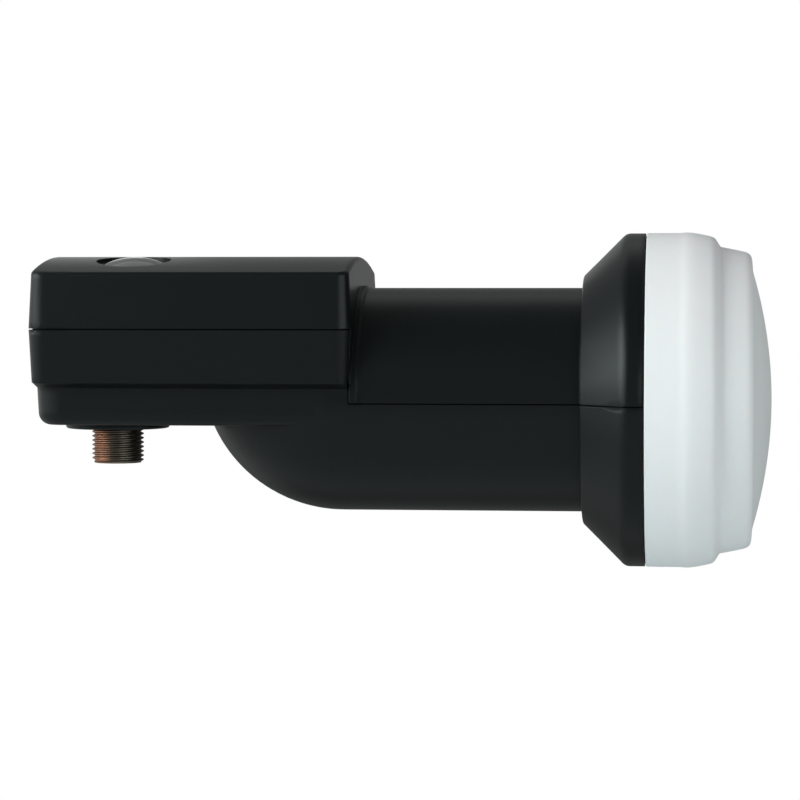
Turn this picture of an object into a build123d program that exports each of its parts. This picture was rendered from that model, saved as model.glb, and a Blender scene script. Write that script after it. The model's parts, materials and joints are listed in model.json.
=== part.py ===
from build123d import *
import os
from math import radians, sqrt, tan

# Satellite LNB, in millimetres. X runs along the feed axis towards the weather cap,
# Z is up, and the origin is the middle of the clamp neck on the feed axis.

# Neck and flange
NECK_R = 20.0
NECK_LENGTH = 40.0
NECK_FRONT_X = NECK_LENGTH / 2
NECK_REAR_X = -NECK_LENGTH / 2
FLANGE_R = 29.7
FLANGE_STEP = 2.1
FLANGE_BAND = 3.4
FLANGE_REAR_ROUND = 0.8
FLANGE_FRONT_ROUND = 1.8
FLANGE_CONE_X = NECK_FRONT_X + FLANGE_R - NECK_R - FLANGE_STEP
FLANGE_X = FLANGE_CONE_X + FLANGE_BAND
COLLAR_STEP = 0.4
COLLAR_LENGTH = 1.5
COLLAR_CHAMFER = 0.2

# Box and base
WALL = 1.8
DRAFT = 3.0
BOX_LENGTH = 56.5
BOX_WIDTH = 45.0
BOX_FRONT_PROUD = 0.6
BOX_REAR_CORNER_R = 2.6
BOX_FRONT_CORNER_R = 2.5
CROWN_Z = 25.6
CROWN_R = 84.0
CROWN_REAR_ROUND = 2.4
CROWN_FRONT_ROUND = 3.0
CROWN_EDGE_ROUND = 0.8
PARTING_Z = 12.9
PARTING_GAP = 0.2
PARTING_GROOVE = 0.6
PARTING_SEAT = 0.04
STEP_DEPTH = 2.4
STEP_SIDE = 1.2
LEDGE_TOP_Z = 3.4
LEDGE_HEIGHT = 1.0
LEDGE_WIDTH = 2.5
BASE_Z = -4.15
BASE_INSET = 0.45
BASE_CORNER_R = 5.0
BASE_FRONT_R = 0.6
BASE_ROUND = 2.2
BOX_REAR_X = NECK_REAR_X - BOX_LENGTH
BOX_MID_X = NECK_REAR_X - BOX_LENGTH / 2
BASE_HALF_WIDTH = BOX_WIDTH / 2 - LEDGE_WIDTH
STEP_HALF_WIDTH = BASE_HALF_WIDTH - STEP_SIDE
ROOT_HALF_WIDTH = NECK_R + 2 * COLLAR_STEP

# Belly under the box, a nose turned about the feed axis
BELLY_R = 26.2
BELLY_START = 3.1
BELLY_START_X = NECK_REAR_X - BELLY_START
BELLY_DROP = BELLY_R - NECK_R

# Joint and ribs inside the shells
TONGUE_CLEARANCE = 0.15
TONGUE_THICKNESS = 0.9
TONGUE_DEPTH = 2.0
TONGUE_ROOT = 1.6
RIB_THICKNESS = 1.6
RIB_SIDE_GAP = 7.5
RIB_REAR_OFFSET = 16.5
RIB_FRONT_OFFSET = 17.0
POST_R = 2.4
POST_SIDE_GAP = 9.5
POST_REAR_OFFSET = 6.5
POST_FRONT_OFFSET = 30.0
SEAT_GAP = 0.06
RIB_HALF_WIDTH = BOX_WIDTH / 2 - RIB_SIDE_GAP
RIB_PLACES = (BOX_REAR_X + RIB_REAR_OFFSET, NECK_REAR_X - RIB_FRONT_OFFSET)
POST_Y = BOX_WIDTH / 2 - POST_SIDE_GAP
POST_REAR_X = BOX_REAR_X + POST_REAR_OFFSET
POST_FRONT_X = NECK_REAR_X - POST_FRONT_OFFSET

# Badge
BADGE_OFFSET = 17.0
BADGE_X = BOX_REAR_X + BADGE_OFFSET
BADGE_Y = -11.0
BADGE_R = 5.35
BADGE_DOME = 1.15
RECESS_R = 6.65
RECESS_DEPTH = 0.7
BADGE_GLUE = 0.05

# Weather cap
CAP_PROUD = 0.2
CAP_WALL = 1.5
CAP_GAP = 0.2
CAP_BAND = 6.8
CAP_SHOULDER = 6.2
CAP_SHOULDER_TAPER = 0.9
CAP_TIER1_ROUND = 1.9
CAP_STEP = 2.7
CAP_TIER2_LENGTH = 5.6
CAP_TIER2_TAPER = 1.0
CAP_TIER2_ROUND = 1.3
CAP_DOME = 3.5
CAP_R = FLANGE_R + CAP_PROUD
CAP_INNER_R = CAP_R - CAP_WALL
CAP_TIER2_R = CAP_R - CAP_STEP
CAP_RIM_X = FLANGE_X + CAP_GAP
CAP_CREASE_X = CAP_RIM_X + CAP_BAND
CAP_STEP_X = CAP_CREASE_X + CAP_SHOULDER
CAP_FRONT_X = CAP_STEP_X + CAP_TIER2_LENGTH

# Die-cast feed horn and circuit tray
GUIDE_R = 8.75
GUIDE_WALL = 2.45
GUIDE_OVERHANG = 19.0
GUIDE_END_X = NECK_REAR_X - GUIDE_OVERHANG
GUIDE_END_WALL = 2.5
TUBE_R = GUIDE_R + GUIDE_WALL
COLLAR_FIT = 0.15
SEAT_RING_R = NECK_R - WALL - COLLAR_FIT
SEAT_RING_LENGTH = 4.0
SEAT_REAR_INSET = 2.0
SEAT_FRONT_INSET = 7.0
SEAT_REAR_X = NECK_REAR_X + SEAT_REAR_INSET
SEAT_FRONT_X = NECK_FRONT_X - SEAT_FRONT_INSET
HORN_RIM_GAP = 1.2
HORN_RIM_R = CAP_INNER_R - HORN_RIM_GAP
HORN_RING_WALL = 1.7
HORN_PLATE_SETBACK = 1.0
HORN_PLATE_THICKNESS = 2.6
HORN_DEPTH = 12.0
HORN_MOUTH_SETBACK = 1.5
HORN_PLATE_X = FLANGE_X - HORN_PLATE_SETBACK
HORN_RIM_X = HORN_PLATE_X + HORN_DEPTH
HORN_MOUTH_X = HORN_RIM_X - HORN_MOUTH_SETBACK
RIDGE_R = (HORN_RIM_R + TUBE_R) / 2
SEAL_GROOVE_X = HORN_PLATE_X + HORN_DEPTH / 2
SEAL_R = 0.85
SEAL_FIT = 0.05
TRAY_REAR_GAP = 3.2
TRAY_FRONT_GAP = 4.0
TRAY_SIDE_GAP = 3.5
TRAY_FRONT_X = NECK_REAR_X - TRAY_FRONT_GAP
TRAY_HALF_WIDTH = BOX_WIDTH / 2 - TRAY_SIDE_GAP
TRAY_FLOOR_Z = 11.6
TRAY_FLOOR = 2.0
TRAY_DEPTH = 3.8
TRAY_WALL = 1.8
TRAY_CORNER_R = 2.0
TRAY_REAR_X = BOX_REAR_X + TRAY_REAR_GAP
TRAY_LENGTH = TRAY_FRONT_X - TRAY_REAR_X
TRAY_MID_X = (TRAY_FRONT_X + TRAY_REAR_X) / 2
TRAY_BOTTOM_Z = TRAY_FLOOR_Z - TRAY_FLOOR
TRAY_RIM_Z = TRAY_FLOOR_Z + TRAY_DEPTH

# Lid of the tray and its screws
GASKET = 0.5
LID = 1.2
LID_Z = TRAY_RIM_Z + GASKET
LID_TOP_Z = LID_Z + LID
LID_RIB_GAP = 0.5
LID_RIB = 1.2
LID_RIB_OFFSET = 24.65
LID_RIB_X = NECK_REAR_X - LID_RIB_OFFSET
LID_RIB_Y = 3.0
LID_RIB_END = 1.0
SCREW_R = 1.2
SCREW_HEAD_R = 2.3
SCREW_HEAD = 1.5
SCREW_FIT = 0.2
SCREW_TAP_FIT = 0.05
SCREW_LENGTH = 4.4
SCREW_DRIVE = 0.7
SCREW_DRIVE_LENGTH = 2.6
SCREW_DRIVE_WIDTH = 0.5
PILLAR_R = 2.6
PILLAR_INSET = 3.4
PILLAR_RIB_GAP = 4.0
PILLAR_REAR_X = TRAY_REAR_X + PILLAR_INSET
PILLAR_MID_X = LID_RIB_X - PILLAR_RIB_GAP
PILLAR_FRONT_X = TRAY_FRONT_X - PILLAR_INSET
PILLAR_Y = TRAY_HALF_WIDTH - PILLAR_INSET

# Circuit board and the parts on it
BOARD = 0.8
BOARD_GAP = 0.25
BOARD_TOP_Z = TRAY_FLOOR_Z + BOARD
CHIP_SIZE = 6.0
CHIP_HEIGHT = 0.9
CHIP_EDGE = 0.12
CHIP_OFFSET = 22.5
CHIP_X = BOX_REAR_X + CHIP_OFFSET
CHIP_Y = 4.0
TRANSISTOR_LENGTH = 2.1
TRANSISTOR_WIDTH = 1.3
TRANSISTOR_HEIGHT = 0.9
FRONT_TRANSISTORS = [(13.0, 0.5), (16.5, -9.5), (21.5, 0.5)]
CRYSTAL_LENGTH = 3.2
CRYSTAL_WIDTH = 2.5
CRYSTAL_HEIGHT = 0.8
CRYSTAL_Y = -4.5
REGULATOR_LENGTH = 5.0
REGULATOR_WIDTH = 4.0
REGULATOR_HEIGHT = 1.6
REGULATOR_OFFSET = 15.0
REGULATOR_X = BOX_REAR_X + REGULATOR_OFFSET
REGULATOR_Y = 10.5
PASSIVE_LENGTH = 1.6
PASSIVE_WIDTH = 0.8
CAPACITOR_HEIGHT = 0.8
RESISTOR_HEIGHT = 0.45
REAR_CAPACITORS = [(17.0, 1.0), (17.0, 4.0), (18.5, -5.0), (18.5, -9.0), (19.3, 9.5)]
FRONT_CAPACITORS = [(19.0, -5.0), (10.0, 7.5)]
REAR_RESISTORS = [(10.0, 8.0), (22.5, 10.0), (22.5, -9.0)]
FRONT_RESISTORS = [(22.0, -9.0), (16.0, 7.5)]
INDUCTOR_R = 2.0
INDUCTOR_HEIGHT = 2.2
INDUCTOR_FLANGE = 0.5
INDUCTOR_CORE_R = 1.4
INDUCTOR_OFFSET = 11.5
INDUCTOR_X = BOX_REAR_X + INDUCTOR_OFFSET
INDUCTOR_Y = -9.0

# Probes
PROBE_R = 0.5
PROBE_TAIL = 0.6
PROBE_DEPTH = 5.2
PROBE_FIT = 0.05
PROBE_VERTICAL_OFFSET = 8.5
PROBE_HORIZONTAL_OFFSET = 14.5
PROBE_VERTICAL_X = NECK_REAR_X - PROBE_VERTICAL_OFFSET
PROBE_HORIZONTAL_X = NECK_REAR_X - PROBE_HORIZONTAL_OFFSET
PROBE_SIDE_GAP = 8.5
PROBE_LEG_Y = PROBE_SIDE_GAP - BOX_WIDTH / 2
PROBE_BEND_R = 1.4
BUSH_R = 1.6
BUSH_FIT = 0.03
ISOLATION_OFFSET = 11.6
ISOLATION_X = NECK_REAR_X - ISOLATION_OFFSET
ISOLATION_R = 0.75
ISOLATION_SEAT = 1.2

# Threaded coaxial socket
SOCKET_OFFSET = 11.8
SOCKET_X = BOX_REAR_X + SOCKET_OFFSET
SOCKET_R = 4.7
SOCKET_END_Z = -11.75
SOCKET_CHAMFER = 0.6
SOCKET_BORE_R = 3.0
SOCKET_RELIEF = 0.3
SOCKET_SHANK_R = 4.0
SOCKET_SHANK_TOP_Z = 7.0
SOCKET_FIT = 0.05
BOSS_R = 9.4
BOSS_HEIGHT = 1.3
BOSS_ROUND = 0.5
BOSS_HOLE_R = 5.7
CASTING_BOSS_R = 7.5
FEED_HOLE_R = 2.2
INSULATOR_FACE = 0.6
CONTACT_R = 0.95
CONTACT_BORE_R = 0.55
CONTACT_BORE_DEPTH = 7.0
RING_FIT = 0.05
RING_WIDTH = 1.6
RING_RECESS = 0.6

BOSS_Z = BASE_Z - BOSS_HEIGHT
FLOOR_Z = BASE_Z + WALL
SHOULDER_Z = FLOOR_Z + SEAT_GAP


def dome_point(edge_x, edge_r):
    """Point of the cap's domed front halfway from its edge to the axis."""
    sphere_r = (edge_r**2 + CAP_DOME**2) / (2 * CAP_DOME)
    rise = sqrt(sphere_r**2 - (edge_r / 2) ** 2) - sphere_r
    return (edge_x + CAP_DOME + rise, edge_r / 2)


def crown_height(y):
    """Height of the crowned top at a distance y from the middle."""
    return CROWN_Z - CROWN_R + sqrt(CROWN_R**2 - y**2)


def box_outline(plane, front_inset, rear_inset, half_width, rear_r, front_r):
    """Plan of the box on a plane, its front set in from the rear end of the neck."""
    rear_x = BOX_REAR_X + rear_inset
    front_x = NECK_REAR_X - front_inset
    with BuildSketch(plane) as plan:
        with Locations(((rear_x + front_x) / 2, 0)):
            Rectangle(front_x - rear_x, 2 * half_width)
        fillet(plan.vertices().group_by(Axis.X)[0], rear_r)
        fillet(plan.vertices().group_by(Axis.X)[-1], front_r)
    return plan.sketch


def housing_form(inset, edge_round=0):
    """The whole moulded housing as one solid, every face drawn in by inset."""
    half_width = BOX_WIDTH / 2 - inset
    front_inset = inset - BOX_FRONT_PROUD
    rear_r = BOX_REAR_CORNER_R - inset / 2
    front_r = BOX_FRONT_CORNER_R - inset / 2
    base_r = BASE_CORNER_R - inset / 2
    base_half = BASE_HALF_WIDTH - inset
    base_inset = BASE_INSET + inset
    base_z = BASE_Z + inset
    ledge_top = LEDGE_TOP_Z + inset / 2
    ledge_bottom = ledge_top - LEDGE_HEIGHT
    draw_in = (PARTING_Z - ledge_top) * tan(radians(DRAFT))
    belly_r = BELLY_R - inset
    belly_tip = BELLY_START_X - sqrt(belly_r**2 - BELLY_DROP**2)
    slant = inset * (sqrt(2) - 1)
    parting = Plane.XY.offset(PARTING_Z)

    with BuildPart() as cover:
        add(box_outline(parting, front_inset, inset, half_width, rear_r, front_r))
        extrude(amount=CROWN_Z - PARTING_Z, taper=DRAFT)
        crown_foot = CROWN_Z - inset - CROWN_R
        with BuildSketch(Plane.XZ) as barrel:
            with Locations((BOX_REAR_X + inset, crown_foot)):
                Rectangle(
                    NECK_REAR_X - front_inset - BOX_REAR_X - inset, CROWN_R, align=(Align.MIN, Align.MIN)
                )
            crest = barrel.vertices().group_by(Axis.Z)[-1].sort_by(Axis.X)
            fillet(crest[0], CROWN_REAR_ROUND - inset / 2)
            fillet(crest[-1], CROWN_FRONT_ROUND - inset / 2)
        revolve(axis=Axis((0, 0, crown_foot), (1, 0, 0)), mode=Mode.INTERSECT)
        if edge_round:
            top_edges = cover.edges().filter_by_position(Axis.Z, PARTING_Z + WALL, CROWN_Z)
            fillet(top_edges.group_by(SortBy.LENGTH)[-1], edge_round)

    with BuildPart() as tray:
        add(box_outline(parting, front_inset, inset, half_width, rear_r, front_r))
        extrude(amount=ledge_top - PARTING_Z, taper=DRAFT)

    ledge_plane = Plane.XY.offset(ledge_top)
    base_plane = Plane.XY.offset(ledge_bottom)
    with BuildPart() as ledge:
        add(
            box_outline(
                ledge_plane, front_inset + draw_in, inset + draw_in, half_width - draw_in, rear_r, front_r
            )
        )
        add(box_outline(base_plane, inset, base_inset, base_half, base_r, BASE_FRONT_R))
        loft()

    with BuildPart() as pedestal:
        add(box_outline(base_plane, inset, base_inset, base_half, base_r, BASE_FRONT_R))
        extrude(amount=base_z - ledge_bottom, taper=DRAFT)
        fillet(pedestal.edges().group_by(Axis.Z)[0], BASE_ROUND - inset / 2)

    with BuildPart() as feed:
        with BuildSketch(Plane.XY) as section:
            with BuildLine():
                neck_start = (BELLY_START_X, NECK_R - inset)
                cone_rear = (NECK_FRONT_X + inset, NECK_R + FLANGE_STEP - slant)
                cone_front = (FLANGE_CONE_X + slant, FLANGE_R - inset)
                RadiusArc((belly_tip, 0), neck_start, belly_r)
                Polyline(
                    neck_start,
                    (NECK_FRONT_X + inset, NECK_R - inset),
                    cone_rear,
                    cone_front,
                    (FLANGE_X + inset, FLANGE_R - inset),
                    (FLANGE_X + inset, 0),
                    (belly_tip, 0),
                )
            make_face()
            fillet(section.vertices().sort_by_distance((*cone_front, 0))[0], FLANGE_FRONT_ROUND)
            fillet(section.vertices().sort_by_distance((*cone_rear, 0))[0], FLANGE_REAR_ROUND)
        revolve(axis=Axis.X)

    return cover.part + tray.part + ledge.part + pedestal.part + feed.part


def board_places(behind_neck, ahead_of_rear):
    """Places on the board, from distances behind the neck and ahead of the box's rear."""
    front = [(NECK_REAR_X - distance, y, BOARD_TOP_Z) for distance, y in behind_neck]
    rear = [(BOX_REAR_X + distance, y, BOARD_TOP_Z) for distance, y in ahead_of_rear]
    return front + rear


def tongue_plan(outer_inset, inner_inset):
    """U-shaped band round the sides and rear of the box, open at the front."""
    with BuildSketch() as band:
        with Locations((BOX_MID_X, 0)):
            Rectangle(BOX_LENGTH - 2 * outer_inset, BOX_WIDTH - 2 * outer_inset)
        fillet(band.vertices(), BOX_REAR_CORNER_R)
        with Locations((NECK_REAR_X, 0)):
            Rectangle(
                2 * (BOX_LENGTH - inner_inset), BOX_WIDTH - 2 * inner_inset, mode=Mode.SUBTRACT
            )
            Rectangle(2 * (NECK_REAR_X - TRAY_FRONT_X), BOX_WIDTH, mode=Mode.SUBTRACT)
    return band.sketch


def parting_block(gap):
    """Space above the stepped parting line, grown by gap for the lower shell's cut."""
    reach = 2 * BOX_LENGTH
    with BuildPart() as block:
        with Locations((0, 0, PARTING_Z - gap)):
            Box(2 * reach, 2 * reach, reach, align=(Align.CENTER, Align.CENTER, Align.MIN))
        with Locations((NECK_REAR_X - STEP_DEPTH - gap, 0, -gap)):
            Box(reach, 2 * (STEP_HALF_WIDTH + gap), reach, align=(Align.MIN, Align.CENTER, Align.MIN))
        with Locations((NECK_REAR_X - gap, 0, -gap)):
            Box(reach, 2 * (ROOT_HALF_WIDTH + gap), reach, align=(Align.MIN, Align.CENTER, Align.MIN))
        with Locations((0, 0, -gap)):
            Box(reach, 2 * reach, reach, align=(Align.MIN, Align.CENTER, Align.MIN))
    return block.part


os.makedirs("parts", exist_ok=True)

# Low collar round the upper half of the neck's root
with BuildPart() as neck_collar:
    with BuildSketch(Plane.XY):
        with BuildLine():
            Polyline(
                (NECK_REAR_X - WALL / 2, NECK_R - WALL / 2),
                (NECK_REAR_X - WALL / 2, NECK_R + COLLAR_STEP),
                (NECK_REAR_X + COLLAR_LENGTH - COLLAR_CHAMFER, NECK_R + COLLAR_STEP),
                (NECK_REAR_X + COLLAR_LENGTH, NECK_R + COLLAR_STEP - COLLAR_CHAMFER),
                (NECK_REAR_X + COLLAR_LENGTH, NECK_R - WALL / 2),
                close=True,
            )
        make_face()
    revolve(axis=Axis.X)

# The two shells, parted along the stepped line and hollowed
outer_form = housing_form(0, CROWN_EDGE_ROUND)
inner_form = housing_form(WALL)
groove = parting_block(PARTING_GAP) - housing_form(PARTING_GROOVE)
upper_blank = ((outer_form + neck_collar.part) & parting_block(0)) - inner_form
lower_blank = outer_form - parting_block(PARTING_SEAT) - groove - inner_form

# Badge, on the plane that touches the crown at its middle
badge_slope = BADGE_Y / CROWN_R
badge_plane = Plane(
    origin=(BADGE_X, BADGE_Y, crown_height(BADGE_Y)),
    x_dir=(1, 0, 0),
    z_dir=(0, badge_slope, sqrt(1 - badge_slope**2)),
)

# Upper shell
tongue_out = WALL + TONGUE_CLEARANCE
tongue_in = tongue_out + TONGUE_THICKNESS
rib_foot_z = LID_TOP_Z + SEAT_GAP
with BuildPart() as upper_shell:
    add(upper_blank)
    with BuildSketch(badge_plane.offset(-RECESS_DEPTH)):
        Circle(RECESS_R)
    extrude(amount=2 * RECESS_DEPTH, mode=Mode.SUBTRACT)
    with BuildSketch(Plane.XY.offset(PARTING_Z - TONGUE_DEPTH)):
        add(tongue_plan(tongue_out, tongue_in))
    extrude(amount=TONGUE_DEPTH + TONGUE_ROOT)
    with BuildSketch(Plane.XY.offset(PARTING_Z + TONGUE_ROOT / 2)):
        add(tongue_plan(WALL / 2, tongue_in))
    extrude(amount=TONGUE_ROOT)
    for rib_x in RIB_PLACES:
        with BuildSketch(Plane.YZ.offset(rib_x)):
            with Locations((0, rib_foot_z)):
                Rectangle(2 * RIB_HALF_WIDTH, CROWN_Z - rib_foot_z, align=(Align.CENTER, Align.MIN))
            with Locations((0, CROWN_Z - WALL / 2 - CROWN_R)):
                Circle(CROWN_R, mode=Mode.INTERSECT)
        extrude(amount=RIB_THICKNESS / 2, both=True)
upper_shell.part.label = "upper_shell"
export_step(upper_shell.part, "parts/upper_shell.step")

# Lower shell
post_top_z = TRAY_BOTTOM_Z - SEAT_GAP
with BuildPart() as lower_shell:
    add(lower_blank)
    with BuildSketch(Plane.XZ) as boss_section:
        with Locations((SOCKET_X + BOSS_R / 2, BASE_Z - BOSS_HEIGHT / 2 + WALL / 4)):
            Rectangle(BOSS_R, BOSS_HEIGHT + WALL / 2)
        boss_edge = boss_section.vertices().group_by(Axis.Y)[0].sort_by(Axis.X)[-1]
        fillet(boss_edge, BOSS_ROUND)
    revolve(axis=Axis((SOCKET_X, 0, 0), (0, 0, 1)))
    with Locations((SOCKET_X, 0, BOSS_Z)):
        Cylinder(
            BOSS_HOLE_R,
            2 * (BOSS_HEIGHT + WALL),
            align=(Align.CENTER, Align.CENTER, Align.CENTER),
            mode=Mode.SUBTRACT,
        )
    with Locations(
        (POST_REAR_X, POST_Y, FLOOR_Z - WALL / 2),
        (POST_REAR_X, -POST_Y, FLOOR_Z - WALL / 2),
        (POST_FRONT_X, POST_Y, FLOOR_Z - WALL / 2),
        (POST_FRONT_X, -POST_Y, FLOOR_Z - WALL / 2),
    ):
        Cylinder(
            POST_R,
            post_top_z - FLOOR_Z + WALL / 2,
            align=(Align.CENTER, Align.CENTER, Align.MIN),
        )
lower_shell.part.label = "lower_shell"
export_step(lower_shell.part, "parts/lower_shell.step")

# Badge
dome_r = (BADGE_R**2 + BADGE_DOME**2) / (2 * BADGE_DOME)
with BuildPart() as badge:
    with Locations(badge_plane.offset(BADGE_GLUE - RECESS_DEPTH)):
        Cylinder(BADGE_R, BADGE_DOME, align=(Align.CENTER, Align.CENTER, Align.MIN))
    with Locations(badge_plane.offset(BADGE_GLUE - RECESS_DEPTH + BADGE_DOME - dome_r)):
        Sphere(dome_r, mode=Mode.INTERSECT)
badge.part.label = "badge"
export_step(badge.part, "parts/badge.step")

# Weather cap
front_r = CAP_TIER2_R - CAP_TIER2_TAPER
shoulder_r = CAP_R - CAP_SHOULDER_TAPER
inner_front_x = CAP_FRONT_X - CAP_WALL
inner_front_r = front_r - CAP_WALL
inner_step_x = CAP_STEP_X - CAP_WALL
with BuildPart() as feed_cap:
    with BuildSketch(Plane.XY) as cap_section:
        with BuildLine():
            Polyline(
                (inner_front_x, inner_front_r),
                (inner_step_x, CAP_TIER2_R - CAP_WALL),
                (inner_step_x, shoulder_r - CAP_WALL),
                (CAP_CREASE_X, CAP_INNER_R),
                (CAP_RIM_X, CAP_INNER_R),
                (CAP_RIM_X, CAP_R),
                (CAP_CREASE_X, CAP_R),
                (CAP_STEP_X, shoulder_r),
                (CAP_STEP_X, CAP_TIER2_R),
                (CAP_FRONT_X, front_r),
            )
            ThreePointArc(
                (CAP_FRONT_X, front_r), dome_point(CAP_FRONT_X, front_r), (CAP_FRONT_X + CAP_DOME, 0)
            )
            Line((CAP_FRONT_X + CAP_DOME, 0), (inner_front_x + CAP_DOME, 0))
            ThreePointArc(
                (inner_front_x + CAP_DOME, 0),
                dome_point(inner_front_x, inner_front_r),
                (inner_front_x, inner_front_r),
            )
        make_face()
        fillet(cap_section.vertices().sort_by_distance((CAP_STEP_X, shoulder_r, 0))[0], CAP_TIER1_ROUND)
        fillet(cap_section.vertices().sort_by_distance((CAP_FRONT_X, front_r, 0))[0], CAP_TIER2_ROUND)
    revolve(axis=Axis.X)
feed_cap.part.label = "feed_cap"
export_step(feed_cap.part, "parts/feed_cap.step")

# Rubber ring between the cap and the horn's rim
ring_out_r = CAP_INNER_R - SEAL_FIT
with BuildPart() as cap_seal_ring:
    with BuildSketch(Plane.XY):
        with Locations((SEAL_GROOVE_X, ring_out_r - SEAL_R)):
            Circle(SEAL_R)
    revolve(axis=Axis.X)
cap_seal_ring.part.label = "cap_seal_ring"
export_step(cap_seal_ring.part, "parts/cap_seal_ring.step")

# Die-cast horn, waveguide, circuit tray and socket boss
plate_front_x = HORN_PLATE_X + HORN_PLATE_THICKNESS
groove_r = ring_out_r - 2 * SEAL_R - SEAL_FIT
pocket_half = TRAY_HALF_WIDTH - TRAY_WALL
pocket_front_x = TRAY_FRONT_X - TRAY_WALL
pillar_places = [
    (x, y) for x in (PILLAR_REAR_X, PILLAR_MID_X, PILLAR_FRONT_X) for y in (-PILLAR_Y, PILLAR_Y)
]
with BuildPart() as horn_casting:
    with BuildSketch(Plane.XY):
        with BuildLine():
            Polyline(
                (GUIDE_END_X, 0),
                (GUIDE_END_X, TUBE_R),
                (SEAT_REAR_X, TUBE_R),
                (SEAT_REAR_X, SEAT_RING_R),
                (SEAT_REAR_X + SEAT_RING_LENGTH, SEAT_RING_R),
                (SEAT_REAR_X + SEAT_RING_LENGTH, TUBE_R),
                (SEAT_FRONT_X, TUBE_R),
                (SEAT_FRONT_X, SEAT_RING_R),
                (SEAT_FRONT_X + SEAT_RING_LENGTH, SEAT_RING_R),
                (SEAT_FRONT_X + SEAT_RING_LENGTH, TUBE_R),
                (HORN_PLATE_X, TUBE_R),
                (HORN_PLATE_X, HORN_RIM_R),
                (SEAL_GROOVE_X - SEAL_R - SEAL_FIT, HORN_RIM_R),
                (SEAL_GROOVE_X - SEAL_R - SEAL_FIT, groove_r),
                (SEAL_GROOVE_X + SEAL_R + SEAL_FIT, groove_r),
                (SEAL_GROOVE_X + SEAL_R + SEAL_FIT, HORN_RIM_R),
                (HORN_RIM_X, HORN_RIM_R),
                (HORN_RIM_X, HORN_RIM_R - HORN_RING_WALL),
                (plate_front_x, HORN_RIM_R - HORN_RING_WALL),
                (plate_front_x, RIDGE_R + HORN_RING_WALL / 2),
                (HORN_RIM_X, RIDGE_R + HORN_RING_WALL / 2),
                (HORN_RIM_X, RIDGE_R - HORN_RING_WALL / 2),
                (plate_front_x, RIDGE_R - HORN_RING_WALL / 2),
                (plate_front_x, TUBE_R),
                (HORN_MOUTH_X, TUBE_R),
                (HORN_MOUTH_X, GUIDE_R),
                (GUIDE_END_X + GUIDE_END_WALL, GUIDE_R),
                (GUIDE_END_X + GUIDE_END_WALL, 0),
                close=True,
            )
        make_face()
    revolve(axis=Axis.X)
    with BuildSketch(Plane.XY.offset(TRAY_BOTTOM_Z)):
        with Locations((TRAY_MID_X, 0)):
            RectangleRounded(TRAY_LENGTH, 2 * TRAY_HALF_WIDTH, TRAY_CORNER_R)
    extrude(amount=TRAY_FLOOR + TRAY_DEPTH)
    with BuildSketch(Plane.XY.offset(TRAY_FLOOR_Z)):
        with Locations((TRAY_MID_X, 0)):
            Rectangle(TRAY_LENGTH - 2 * TRAY_WALL, 2 * pocket_half)
        with Locations(*pillar_places):
            Circle(PILLAR_R, mode=Mode.SUBTRACT)
    extrude(amount=TRAY_DEPTH, mode=Mode.SUBTRACT)
    with Locations((SOCKET_X, 0, SHOULDER_Z)):
        Cylinder(
            CASTING_BOSS_R,
            TRAY_BOTTOM_Z + TRAY_FLOOR / 2 - SHOULDER_Z,
            align=(Align.CENTER, Align.CENTER, Align.MIN),
        )
    with Locations((SOCKET_X, 0, SHOULDER_Z)):
        Cylinder(
            SOCKET_SHANK_R + SOCKET_FIT,
            SOCKET_SHANK_TOP_Z + SOCKET_FIT - SHOULDER_Z,
            align=(Align.CENTER, Align.CENTER, Align.MIN),
            mode=Mode.SUBTRACT,
        )
        Cylinder(
            FEED_HOLE_R,
            TRAY_FLOOR_Z - SHOULDER_Z,
            align=(Align.CENTER, Align.CENTER, Align.MIN),
            mode=Mode.SUBTRACT,
        )
    with Locations(*[(x, y, LID_TOP_Z - SCREW_LENGTH - SCREW_FIT) for x, y in pillar_places]):
        Cylinder(
            SCREW_R + SCREW_TAP_FIT,
            SCREW_LENGTH + SCREW_FIT,
            align=(Align.CENTER, Align.CENTER, Align.MIN),
            mode=Mode.SUBTRACT,
        )
    with Locations((PROBE_VERTICAL_X, 0, 0)):
        Cylinder(
            BUSH_R + BUSH_FIT,
            TRAY_FLOOR_Z,
            align=(Align.CENTER, Align.CENTER, Align.MIN),
            mode=Mode.SUBTRACT,
        )
    with Locations((PROBE_HORIZONTAL_X, PROBE_LEG_Y, TRAY_BOTTOM_Z)):
        Cylinder(
            BUSH_R + BUSH_FIT,
            TRAY_FLOOR,
            align=(Align.CENTER, Align.CENTER, Align.MIN),
            mode=Mode.SUBTRACT,
        )
    with Locations(Location((PROBE_HORIZONTAL_X, 0, 0), (90, 0, 0))):
        Cylinder(
            BUSH_R + BUSH_FIT,
            TUBE_R,
            align=(Align.CENTER, Align.CENTER, Align.MIN),
            mode=Mode.SUBTRACT,
        )
    with Locations((ISOLATION_X, 0, -TUBE_R)):
        Cylinder(
            ISOLATION_R + BUSH_FIT,
            TUBE_R + GUIDE_R + ISOLATION_SEAT + BUSH_FIT,
            align=(Align.CENTER, Align.CENTER, Align.MIN),
            mode=Mode.SUBTRACT,
        )
horn_casting.part.label = "horn_casting"
export_step(horn_casting.part, "parts/horn_casting.step")

# Pin across the waveguide, pressed in from below
with BuildPart() as isolation_pin:
    with Locations((ISOLATION_X, 0, -TUBE_R)):
        Cylinder(
            ISOLATION_R,
            TUBE_R + GUIDE_R + ISOLATION_SEAT,
            align=(Align.CENTER, Align.CENTER, Align.MIN),
        )
    chamfer(isolation_pin.edges().group_by(Axis.Z)[-1], ISOLATION_R / 3)
isolation_pin.part.label = "isolation_pin"
export_step(isolation_pin.part, "parts/isolation_pin.step")

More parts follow.
